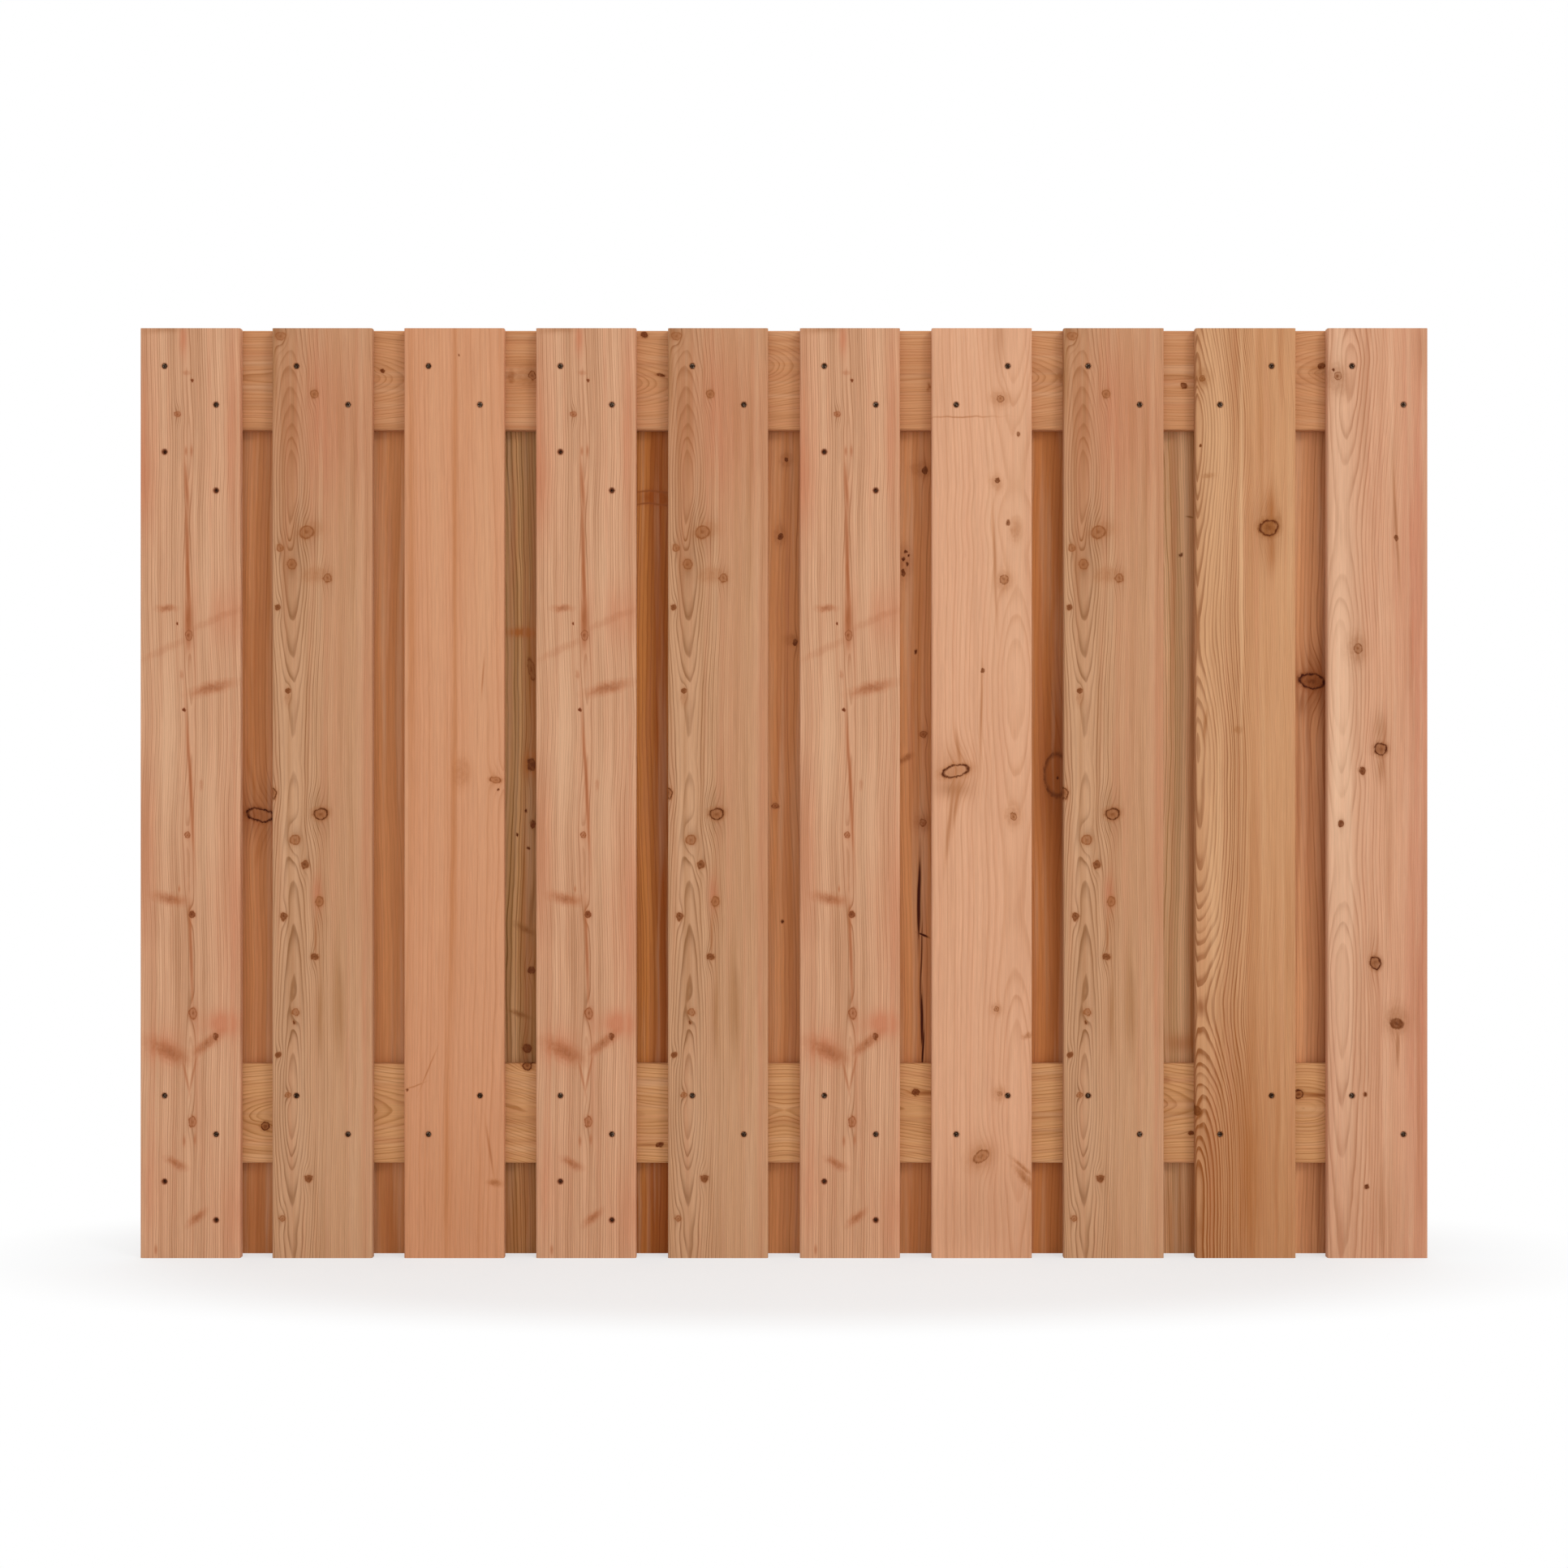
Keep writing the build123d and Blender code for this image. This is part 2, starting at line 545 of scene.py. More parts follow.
HONEY_FIGURE = Figure(
    tone=HONEY,
    heart=(
        (0.0, -66, 16),
        (0.12, -66, 20),
        (0.26, -63, 52),
        (0.40, -66, 30),
        (0.55, -68, 20),
        (0.66, -72, 34),
        (0.78, -74, 24),
        (0.90, -70, 14),
        (1.0, -78, 30),
    ),
    ring=3.7,
    narrowing=0.002,
    contrast=1.6,
    band=0.15,
    fade=(-10.0, 14.0, 0.16),
    seed=47.0,
    knots=(
        Knot(-61, 1229, 9, 9, LIVE),
        Knot(-61, 1231, 20, 22, FAINT),
        Knot(-63, 1135, 3.5, 4, PIN),
        Knot(-52, 1093, 14, 6, FAINT),
        Knot(32, 1021, 26, 21, RINGED, 12),
        Knot(46, 1030, 8, 20, FAINT),
        Knot(-56, 748, 5, 38, RESIN, -6),
        Knot(-11, 740, 11, 9, FAINT),
        Knot(-68, 206, 10, 13, DEAD),
    ),
    patches=(
        Patch(36, 1045, 18, 70, Tint.BROWN, 0.6),
        Patch(36, 985, 14, 60, Tint.BROWN, 0.5),
        Patch(8, 300, 26, 700, Tint.BROWN, 0.25),
        # painted shade: the lower end of the board made browner and darker
        Patch(0, 80, 190, 420, Tint.BROWN, 0.38),
        Patch(-44, 1080, 58, 900, Tint.PALE, 0.45),
        Patch(-46, 500, 52, 420, Tint.PALE, 0.3),
        Patch(-6, 1000, 5, 900, Tint.PALE, 0.6),
        Patch(40, 700, 40, 500, Tint.PALE, 0.12),
    ),
)

ROSE_FIGURE = Figure(
    tone=ROSE,
    heart=(
        (0.0, -48, 36),
        (0.30, -50, 22),
        (0.43, -49, 34),
        (0.63, -51, 20),
        (0.785, -50, 34),
        (0.955, -40, 22),
        (1.0, -40, 26),
    ),
    ring=5.6,
    narrowing=0.006,
    contrast=0.65,
    band=0.3,
    fade=(-20.0, 20.0, 0.5),
    seed=59.0,
    knots=(
        Knot(-56, 1233, 11, 12, LIVE),
        Knot(-55, 1228, 26, 40, FAINT, 10),
        Knot(-62, 1242, 4, 5, PIN),
        Knot(26, 1007, 5, 8, DEAD),
        Knot(26, 1020, 4, 150, RESIN, 3),
        Knot(-28, 851, 12, 14, LIVE),
        Knot(-28, 851, 24, 34, FAINT),
        Knot(4, 711, 18, 16, RINGED, 25),
        Knot(-22, 681, 9, 9, DEAD),
        Knot(-51, 608, 8, 9, DEAD),
        Knot(-3, 413, 15, 18, RINGED, 15),
        Knot(27, 328, 18, 14, DEAD, -10),
        Knot(27, 332, 30, 34, FAINT),
        Knot(28, 296, 5, 50, RESIN),
        Knot(-17, 229, 5, 7, PIN),
        Knot(-16, 99, 6, 7, PIN),
    ),
    patches=(
        Patch(58, 900, 50, 900, Tint.ROSE, 0.55),
        Patch(58, 250, 50, 700, Tint.ROSE, 0.5),
        Patch(4, 740, 18, 50, Tint.BROWN, 0.5),
        Patch(4, 685, 14, 50, Tint.BROWN, 0.5),
        Patch(64, 1270, 30, 110, Tint.BROWN, 0.35),
        # painted shade: the lower end of the board made a little browner and darker
        Patch(10, 60, 140, 180, Tint.BROWN, 0.2),
        Patch(-52, 760, 48, 1300, Tint.PALE, 0.6),
    ),
)

FRONT_FIGURES = {
    (1, 4, 6): PITH_FIGURE,
    (2, 5, 8): CATHEDRAL_FIGURE,
    (3,): PLAIN_FIGURE,
    (7,): PEACH_FIGURE,
    (9,): HONEY_FIGURE,
    (10,): ROSE_FIGURE,
}

# Painted shade: a soft browner, darker patch over the lower ends of the back boards.
FOOT_SHADE = Patch(0, 30, 220, 220, Tint.BROWN, 0.4)

PLAIN_BACK = Figure(
    tone=BACK,
    heart=((0.0, 70, 40), (0.3, 74, 48), (0.6, 66, 42), (1.0, 72, 50)),
    ring=4.0,
    contrast=0.4,
    band=0.9,
    mottle=0.8,
    seed=71.0,
    patches=(FOOT_SHADE,),
)
STRIPED_BACK = replace(
    PLAIN_BACK,
    tone=replace(BACK, early="d09d6a", late="8c6032", halo="9c6c3d"),
    heart=((0.0, -40, 30), (0.3, -42, 36), (0.6, -38, 30), (1.0, -44, 38)),
    ring=3.2,
    contrast=0.8,
)

BACK_FIGURES = {
    (1,): replace(
        PLAIN_BACK,
        knots=(Knot(-2, 619, 40, 18, LOOSE, -8),),
        patches=(
            FOOT_SHADE,
            Patch(-14, 672, 7, 90, Tint.BROWN, 0.5, 10),
            Patch(-2, 580, 9, 70, Tint.BROWN, 0.5, -12),
        ),
    ),
    (2,): replace(PLAIN_BACK, seed=73.0, contrast=0.25),
    (3,): replace(
        STRIPED_BACK,
        seed=75.0,
        knots=(
            Knot(12, 824, 9, 32, LIVE, 12),
            Knot(12, 690, 12, 17, DEAD),
            Knot(4, 624, 4, 5, PIN),
            Knot(14, 606, 7, 11, DEAD),
            Knot(-7, 590, 3.5, 5, PIN),
            Knot(8, 572, 5, 5, PIN),
            Knot(13, 490, 6, 90, RESIN, -6),
            Knot(4, 458, 26, 9, SPIKE, -28),
            Knot(12, 400, 11, 9, DEAD),
            Knot(-4, 337, 28, 6, SPIKE, -18),
            Knot(6, 290, 12, 12, DEAD),
        ),
        patches=(
            FOOT_SHADE,
            Patch(-4, 876, 46, 15, Tint.BROWN, 0.9),
            Patch(14, 800, 18, 320, Tint.BROWN, 0.6),
            Patch(12, 690, 26, 40, Tint.BROWN, 0.7),
            Patch(10, 420, 26, 300, Tint.BROWN, 0.5),
        ),
    ),
    (4,): replace(
        PLAIN_BACK,
        tone=replace(BACK, early="d28746", late="8d481b", brown="9c4c17"),
        seed=77.0,
        contrast=0.6,
        knots=(
            Knot(0, 1076, 60, 3, RESIN, 0, 1.6),
            Knot(0, 1058, 60, 3, RESIN, 0, 1.6),
        ),
        patches=(
            FOOT_SHADE,
            Patch(0, 1067, 70, 22, Tint.BROWN, 0.6),
            # darker strip down the right side: partly the board's own tone, partly painted shade from the right-hand
            # front board
            Patch(14, 650, 26, 1800, Tint.BROWN, 0.75, 0.6),
        ),
    ),
    (5,): replace(
        PLAIN_BACK,
        seed=79.0,
        knots=(
            Knot(3, 1121, 5, 6, DEAD),
            Knot(3, 1121, 18, 18, FAINT),
            Knot(-5, 1012, 7, 8, DEAD),
            Knot(-5, 1014, 16, 26, FAINT),
            Knot(15, 863, 7, 8, DEAD),
            Knot(10, 866, 18, 14, FAINT),
            Knot(-12, 633, 9, 8, LIVE),
            Knot(-2, 469, 4.5, 6, PIN),
        ),
        patches=(),
    ),
    (6,): replace(
        PLAIN_BACK,
        seed=81.0,
        knots=(
            Knot(15, 1105, 8, 10, DEAD),
            Knot(12, 1106, 30, 18, FAINT, -10),
            Knot(-12, 991, 5, 4, PIN),
            Knot(-8, 985, 4, 4, PIN),
            Knot(-15, 980, 5, 5, PIN),
            Knot(-10, 973, 5, 6, PIN),
            Knot(-16, 961, 6, 10, DEAD),
            Knot(-14, 976, 22, 44, FAINT),
            Knot(2, 850, 4.5, 6, PIN),
            Knot(13, 733, 10, 9, LIVE),
            Knot(-13, 698, 18, 8, SPIKE, 32),
            Knot(12, 607, 10, 11, LIVE),
            Knot(12, 607, 22, 22, FAINT),
            Knot(6.5, 501, 4, 96, CRACK, -1),
            Knot(12, 449, 13, 2.5, CRACK, -25),
            Knot(9.5, 405, 1.8, 110, CRACK, -1, 0.7),
            Knot(10.5, 330, 3.4, 62, CRACK),
            Knot(12, 290, 2.2, 44, CRACK, -3),
        ),
    ),
    (7,): replace(
        PLAIN_BACK,
        tone=replace(BACK, early="cf844b", late="934a1a", brown="9c4f1e"),
        seed=83.0,
        contrast=0.3,
        knots=(
            Knot(17, 676, 36, 62, LOOSE, 0, 0.5),
            Knot(18, 672, 3.5, 5, PIN),
        ),
        # darker strip down the right side: partly the board's own tone, partly painted shade from the right-hand front
        # board
        patches=(Patch(18, 650, 22, 1800, Tint.BROWN, 0.5),),
    ),
    (8,): replace(
        STRIPED_BACK,
        tone=replace(STRIPED_BACK.tone, early="efbc8e", late="a97a48"),
        seed=85.0,
        ring=2.6,
        contrast=0.7,
        knots=(
            Knot(7, 987, 5, 6, PIN),
            Knot(20, 1041, 9, 2.5, RESIN, 0, 1.6),
        ),
        patches=(
            FOOT_SHADE,
            # darker strip down the right side: partly the board's own tone, partly painted shade from the right-hand
            # front board
            Patch(22, 650, 16, 1800, Tint.BROWN, 0.5),
            Patch(5, 297, 50, 30, Tint.BROWN, 0.5),
        ),
    ),
    (9,): replace(
        PLAIN_BACK,
        tone=replace(BACK, early="eaa876", brown="8e4a20"),
        seed=87.0,
        knots=(Knot(8, 808, 36, 21, RINGED, -10),),
        patches=(
            # darker strip down the right side: partly the board's own tone, partly painted shade from the right-hand
            # front board
            Patch(25, 650, 22, 2600, Tint.BROWN, 0.5),
            Patch(-6, 775, 14, 36, Tint.BROWN, 0.5),
        ),
    ),
}

TOP_RAIL_FIGURE = Figure(
    tone=RAIL,
    heart=(
        (0.0, 5, 20),
        (0.09, 4, 20),
        (0.17, 3, 12),
        (0.215, 3, 30),
        (0.27, 6, 10),
        (0.32, 6, 10),
        (0.375, -2, 12),
        (0.42, -2, 28),
        (0.48, 18, 12),
        (0.52, 18, 32),
        (0.57, 6, 10),
        (0.63, 6, 10),
        (0.68, 5, 12),
        (0.73, 5, 32),
        (0.78, 4, 12),
        (0.83, 4, 12),
        (0.885, 11, 32),
        (0.93, 11, 14),
        (1.0, 8, 20),
    ),
    ring=3.6,
    contrast=0.45,
    band=0.3,
    seed=91.0,
    knots=(
        Knot(14, 335, 6, 6, DEAD),
        Knot(7, 547, 13, 11, LIVE),
        Knot(7, 545, 34, 36, FAINT),
        Knot(5, 517, 18, 8, FAINT, 0, 1.5),
        Knot(7, 727, 4, 11, DEAD, 8),
        Knot(64, 704, 8, 9, DEAD),
        Knot(-9, 1103, 10, 5, SPIKE),
        Knot(5, 1289, 14, 9, FAINT, 0, 1.5),
        Knot(-7, 1462, 8, 8, DEAD),
        Knot(20, 1656, 8, 10, DEAD),
        Knot(14, 1650, 16, 20, FAINT),
    ),
)
BOTTOM_RAIL_FIGURE = replace(
    TOP_RAIL_FIGURE,
    tone=replace(RAIL, early="d49d6b", late="9a5e26"),
    heart=(
        (0.0, -2, 16),
        (0.06, -4, 30),
        (0.105, -4, 12),
        (0.15, 5, 12),
        (0.21, 5, 34),
        (0.27, 16, 12),
        (0.32, -6, 12),
        (0.37, 0, 12),
        (0.42, -4, 18),
        (0.47, 0, 12),
        (0.50, 5, 20),
        (0.53, 0, 12),
        (0.58, 8, 10),
        (0.63, -4, 12),
        (0.70, -2, 10),
        (0.775, 13, 12),
        (0.82, 13, 30),
        (0.88, 9, 24),
        (0.906, 9, 10),
        (0.935, 9, 26),
        (1.0, 8, 20),
    ),
    ring=4.0,
    contrast=0.55,
    seed=97.0,
    knots=(
        Knot(-18, 172, 11, 11, RINGED),
        Knot(-19, 184, 10, 9, FAINT),
        Knot(67, 540, 12, 12, RINGED),
        Knot(-44, 727, 7, 10, DEAD),
        Knot(-44, 712, 4, 50, RESIN),
        Knot(30, 1085, 9, 10, DEAD),
        Knot(29, 1100, 5, 40, RESIN, 0, 1.5),
        Knot(48, 1437, 8, 9, FAINT),
        Knot(-28, 1472, 6, 8, DEAD),
        Knot(27, 1623, 12, 13, RINGED),
        Knot(26, 1650, 5, 44, RESIN, 0, 1.6),
    ),
)


def linear(colour: str) -> tuple[float, float, float, float]:
    """Linear colour of an sRGB hex, with full alpha.

    Args:
        colour: six hex digits.

    Returns:
        Red, green, blue and alpha.
    """
    parts = [int(colour[i : i + 2], 16) / 255 for i in (0, 2, 4)]
    red, green, blue = (c / 12.92 if c <= 0.04045 else ((c + 0.055) / 1.055) ** 2.4 for c in parts)
    return red, green, blue, 1.0


class NodeGraph:
    """The node tree of a material or a world, filled node by node."""

    def __init__(self, tree: bpy.types.NodeTree) -> None:
        """Empty the tree.

        Args:
            tree: the tree to fill.
        """
        self.tree = tree
        self.tree.nodes.clear()

    def add(
        self,
        kind: str,
        *values: Value,
        out: int = 0,
        named: dict | None = None,
        stops: tuple = (),
        blend: str = "LINEAR",
        **settings,
    ) -> Value:
        """Add one node with its settings and links.

        Args:
            kind: the node's type, without its "ShaderNode".
            values: a socket to link or a constant to set, for the inputs in turn; None leaves one as it is.
            out: number of the output to hand back.
            named: values for inputs by name or number.
            stops: for a colour ramp, pairs of position and red, green, blue.
            blend: how a colour ramp runs from stop to stop.
            settings: the node's own settings.

        Returns:
            The chosen output, or None for a node that has none.
        """
        node = self.tree.nodes.new("ShaderNode" + kind)
        for key, setting in settings.items():
            setattr(node, key, setting)
        if stops:
            node.color_ramp.interpolation = blend
            elements = node.color_ramp.elements
            elements.remove(elements[1])
            for number, (position, colour) in enumerate(stops):
                element = elements.new(position) if number else elements[0]
                element.position = position
                element.color = (*colour, 1.0)
        pairs = list(zip(node.inputs, values))
        pairs += [(node.inputs[key], value) for key, value in (named or {}).items()]
        for socket, value in pairs:
            if isinstance(value, bpy.types.NodeSocket):
                self.tree.links.new(value, socket)
            elif value is not None:
                socket.default_value = value
        return node.outputs[out] if node.outputs else None


@dataclass(frozen=True)
class Timber:
    """Boards or a rail of the CAD model that share one figure, with the grain's own coordinates.

    Attributes:
        nodes: the CAD nodes, the first of them the one that the coordinates start from.
        figure: their figure.
        lying: whether the grain runs along the panel.
        pitch: distance between neighbours in the row, in mm, over which the figure repeats.
        face: depth behind the front at which the screws were driven in, in mm.
    """

    nodes: tuple[str, ...]
    figure: Figure
    lying: bool = False
    pitch: float = 0.0
    face: float = 0.0

    def coordinates(self, graph: NodeGraph) -> bpy.types.NodeSocket:
        """Place on the timber in millimetres: across, depth behind the front face, and along.

        Args:
            graph: the material's graph.

        Returns:
            A vector socket.
        """
        low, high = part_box(self.nodes[0])
        middle = (low + high) / 2
        place = graph.add("TexCoord", out=3)
        start = (middle.x, low.y, low.z)
        if self.lying:
            parts = graph.add("SeparateXYZ", place).node.outputs
            place = graph.add("CombineXYZ", parts[2], parts[1], parts[0])
            start = (middle.z, low.y, low.x)
        shift = tuple(-value / MM for value in start)
        place = graph.add("VectorMath", place, (1 / MM,) * 3, shift, operation="MULTIPLY_ADD")
        if len(self.nodes) > 1:
            half = (self.pitch / 2, 1e5, 1e5)
            place = graph.add("VectorMath", place, half, tuple(-value for value in half), operation="WRAP")
        return place

    def length(self) -> float:
        """Length along the grain, in mm."""
        low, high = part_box(self.nodes[0])
        return ((high.x - low.x) if self.lying else (high.z - low.z)) / MM

    def dress(self, solids: dict[str, bpy.types.Object]) -> None:
        """Give the CAD nodes their finish.

        Args:
            solids: the CAD nodes' objects by name.
        """
        material = PlanedLarch(self).build()
        for node in self.nodes:
            mesh = solids[node].data
            mesh.materials.clear()
            mesh.materials.append(material)
            LOG.info("%s: %s, %d knots", node, material.name, len(self.figure.knots))


class PlanedLarch:
    """Planed, untreated larch: year rings round a wandering pith, parted by knots.

    The planer leaves the face matt, with a fine rib along the fibres where the soft early wood gave way.
    """

    def __init__(self, timber: Timber) -> None:
        """Make an empty material.

        Args:
            timber: the boards or the rail that it is for.
        """
        self.timber = timber
        self.figure = timber.figure
        self.material = bpy.data.materials.new(f"planed_larch_{timber.nodes[0]}")
        self.material.use_nodes = True
        self.graph = NodeGraph(self.material.node_tree)

    def build(self) -> bpy.types.Material:
        """Fill the material.

        Returns:
            The material.
        """
        add = self.graph.add
        figure = self.figure
        tone = figure.tone
        still = self.timber.coordinates(self.graph)
        warp_scale = add("VectorMath", still, (1 / 24, 1 / 24, 1 / 90), (figure.seed,) * 3, operation="MULTIPLY_ADD")
        warp = add("TexNoise", warp_scale, None, 1.0, 2.0, out=1)
        place = add("VectorMath", warp, (4.0, 4.0, 8.0), still, operation="MULTIPLY_ADD")
        place = add("VectorMath", place, (2.0, 2.0, 4.0), operation="SUBTRACT")
        marks, bulge, parting = self.knots(place, still)
        late = self.rings(place, bulge, parting)
        fibre_scale = add("VectorMath", place, (1 / 1.1, 1 / 1.1, 1 / 55), operation="MULTIPLY")
        fibre = add("TexNoise", fibre_scale, None, 1.0, 2.0, 0.6)

        colour = add("Mix", late, named={6: linear(tone.early), 7: linear(tone.late)}, data_type="RGBA", out=2)
        tints = add("SeparateXYZ", self.patches(place)).node.outputs
        for tint, shade in zip(tints, (tone.rose, tone.brown, tone.pale)):
            colour = add("Mix", tint, named={6: colour, 7: linear(shade)}, data_type="RGBA", out=2)
        amounts = add("SeparateXYZ", marks).node.outputs
        halo = add("Math", amounts[2], 0.6, operation="MULTIPLY")
        for amount, shade in ((halo, tone.halo), (amounts[0], tone.knot), (amounts[1], tone.bark)):
            colour = add("Mix", amount, named={6: colour, 7: linear(shade)}, data_type="RGBA", out=2)
        facing = add("SeparateXYZ", add("TexCoord", out=1)).node.outputs[0 if self.timber.lying else 2]
        end_grain = add("Math", facing, operation="ABSOLUTE")
        dim = add("MapRange", end_grain, 0.6, 0.9, 1.0, 0.78)
        shade = add("MapRange", fibre, 0.25, 0.75, 0.90, 1.08)
        shade = add("Math", shade, dim, operation="MULTIPLY")
        colour = add("VectorMath", colour, shade, operation="MULTIPLY")

        rough = add("MapRange", fibre, 0.3, 0.7, 0.55, 0.72)
        bump = add("Bump", named={"Strength": 0.25, "Distance": 0.0003, "Height": fibre})
        surface = add(
            "BsdfPrincipled",
            colour,
            named={"Roughness": rough, "Normal": bump, "Specular IOR Level": 0.1},
        )
        add("OutputMaterial", surface)
        return self.material

    def sunk(self, still: Value, mark: Knot) -> Value:
        """Place relative to a screw's mark, which doesn't reach through the board.

        Args:
            still: the true place on the timber.
            mark: the mark.

        Returns:
            A vector socket.
        """
        middle = (mark.across, self.timber.face, mark.along)
        size = (mark.width, 2 * mark.width, mark.height)
        scale = tuple(1 / length for length in size)
        shift = tuple(-at / length for at, length in zip(middle, size))
        return self.graph.add("VectorMath", still, scale, shift, operation="MULTIPLY_ADD")

    def near(self, place: Value, across: float, along: float, size: tuple[float, float], tilt: float) -> Value:
        """Place relative to a spot, in units of its size.

        Args:
            place: the place on the timber.
            across: the spot's distance from the middle line.
            along: the spot's distance from the lower end.
            size: the spot's size across and along.
            tilt: degrees that its right end rises.

        Returns:
            A vector socket.
        """
        if tilt:
            turn = (0.0, -math.radians(tilt), 0.0)
            reach = (size[0], 400.0, size[1])
            return self.graph.add("Mapping", place, (across, 0.0, along), turn, reach, vector_type="TEXTURE")
        scale = (1 / size[0], 1 / 400.0, 1 / size[1])
        shift = (-across / size[0], 0.0, -along / size[1])
        return self.graph.add("VectorMath", place, scale, shift, operation="MULTIPLY_ADD")

    def knots(self, place: Value, still: Value) -> tuple[Value, Value, Value]:
        """Looks of all knots, and how they bend the rings.

        Args:
            place: the place on the timber, as the grain wanders.
            still: the true place on the timber.

        Returns:
            Amounts of heart, bark and halo as one vector; what the knots add to the ring radius; and how far
            they push the grain aside, as a vector.
        """
        add = self.graph.add
        fine = add("VectorMath", place, (1 / 5, 1 / 5, 1 / 7), operation="MULTIPLY")
        noise = add("TexNoise", fine, None, 1.0, 3.0, 0.6).node.outputs
        ragged = add("VectorMath", noise[1], (6.0, 6.0, 6.0), place, operation="MULTIPLY_ADD")
        ragged = add("VectorMath", ragged, (3.0, 3.0, 3.0), operation="SUBTRACT")
        grown: Value = (0.0, 0.0, 0.0)
        clean: Value = (0.0, 0.0, 0.0)
        bulge: Value = 0.0
        parting: Value = (0.0, 0.0, 0.0)
        for knot in self.figure.knots:
            if knot.kind is CRUSH_AND_SHADE:
                inside = self.sunk(still, knot)
            else:
                ground = place if knot.kind in CLEAN else ragged
                inside = self.near(ground, knot.across, knot.along, (knot.width, knot.height), knot.tilt)
            reach = add("VectorMath", inside, inside, operation="DOT_PRODUCT", out=1)
            look = add("ValToRGB", reach, stops=knot.look())
            if knot.kind in CLEAN:
                clean = add("VectorMath", clean, look, operation="MAXIMUM")
            else:
                grown = add("VectorMath", grown, look, operation="MAXIMUM")
            if knot.kind in BENDING:
                wide, tall = 0.9 * knot.width, 2.2 * knot.height
                around = self.near(place, knot.across, knot.along, (wide, tall), 0.0)
                distance = add("VectorMath", around, around, operation="DOT_PRODUCT", out=1)
                nearness = add("Math", 0.3, distance, operation="POWER")
                bulge = add("Math", nearness, 0.35 * knot.width, bulge, operation="MULTIPLY_ADD")
                push = add("VectorMath", around, named={3: nearness}, operation="SCALE")
                parting = add("VectorMath", push, (-0.55 * wide, 0.0, 0.0), parting, operation="MULTIPLY_ADD")
        patchy = add("MapRange", noise[0], 0.35, 0.62, 0.7, 1.2)
        grown = add("VectorMath", grown, named={3: patchy}, operation="SCALE")
        marks = add("VectorMath", grown, clean, operation="MAXIMUM")
        return marks, bulge, parting

    def rings(self, place: bpy.types.NodeSocket, bulge: Value, parting: Value) -> bpy.types.NodeSocket:
        """Amount of late wood at a place.

        Args:
            place: the place on the timber.
            bulge: what the knots add to the ring radius.
            parting: how far the knots push the grain aside.

        Returns:
            A socket with 0 in early wood and up to the figure's contrast in late wood.
        """
        add = self.graph.add
        figure = self.figure
        parts = add("SeparateXYZ", place).node.outputs
        height = add("Math", parts[2], 1 / self.timber.length(), operation="MULTIPLY")
        stations = tuple((at, (0.5 + across / 400, depth / 200, 0.0)) for at, across, depth in figure.heart)
        heart = add("ValToRGB", height, stops=stations, blend="CARDINAL")
        from_pith = add("VectorMath", heart, (-400.0, 200.0, 0.0), (200.0, 0.0, 0.0), operation="MULTIPLY_ADD")
        moved = add("VectorMath", place, parting, operation="ADD")
        flat = add("VectorMath", moved, (1.0, 1.0, 0.0), from_pith, operation="MULTIPLY_ADD")
        radius = add("VectorMath", flat, operation="LENGTH", out=1)
        radius = add("Math", radius, bulge, operation="ADD")
        closer = add("Math", radius, figure.narrowing / figure.ring, 1 / figure.ring, operation="MULTIPLY_ADD")
        turn = add("Math", radius, closer, operation="MULTIPLY")
        spread = add("TexNoise", None, turn, 0.23, 1.0, noise_dimensions="1D")
        turn = add("Math", spread, 2.2, turn, operation="MULTIPLY_ADD")
        phase = add("Math", turn, operation="FRACT")
        late_wood = tuple((at, (value,) * 3) for at, value in RING_PROFILE)
        profile = add("ValToRGB", phase, stops=late_wood)
        number = add("Math", turn, operation="FLOOR")
        year = add("TexWhiteNoise", None, number, noise_dimensions="1D")
        strength = add("MapRange", year, 0.0, 1.0, 0.25 * figure.contrast, 1.2 * figure.contrast)
        young = add("MapRange", radius, 0.6 * figure.ring, 2.6 * figure.ring, 0.2, 1.0)
        late = add("Math", profile, strength, operation="MULTIPLY")
        fade_from, fade_to, left = figure.fade
        fade = add("MapRange", parts[0], fade_from, fade_to, 1.0, left, interpolation_type="SMOOTHSTEP")
        tail = add("Math", bulge, 0.04, operation="MULTIPLY")
        band = add("MapRange", spread, 0.35, 0.65, 0.0, figure.band * figure.contrast)
        late = add("Math", late, band, operation="ADD")
        late = add("Math", late, young, operation="MULTIPLY")
        return add("Math", late, fade, tail, operation="MULTIPLY_ADD")

    def patches(self, place: bpy.types.NodeSocket) -> Value:
        """Amounts of the rose, brown and pale tints at a place.

        Args:
            place: the place on the timber.

        Returns:
            A vector socket.
        """
        add = self.graph.add
        scale = add("VectorMath", place, (1 / 11, 1 / 11, 1 / 420), (self.figure.seed + 5,) * 3, operation="MULTIPLY_ADD")
        cloud = add("TexNoise", scale, None, 1.0, 2.0, out=1)
        mottle = 2 * self.figure.mottle
        tints: Value = add("VectorMath", cloud, (mottle,) * 3, (-0.5 * mottle,) * 3, operation="MULTIPLY_ADD")
        tints = add("VectorMath", tints, (0.0, 0.0, 0.0), operation="MAXIMUM")
        for patch in self.figure.patches:
            inside = self.near(place, patch.across, patch.along, (patch.width / 2, patch.height / 2), patch.tilt)
            distance = add("VectorMath", inside, inside, operation="DOT_PRODUCT", out=1)
            nearness = add("Math", 0.3, distance, operation="POWER")
            amount = tuple(patch.strength if patch.tint.value == i else 0.0 for i in range(3))
            tints = add("VectorMath", nearness, amount, tints, operation="MULTIPLY_ADD")
        return add("VectorMath", tints, (0.85, 0.85, 0.85), operation="MINIMUM")


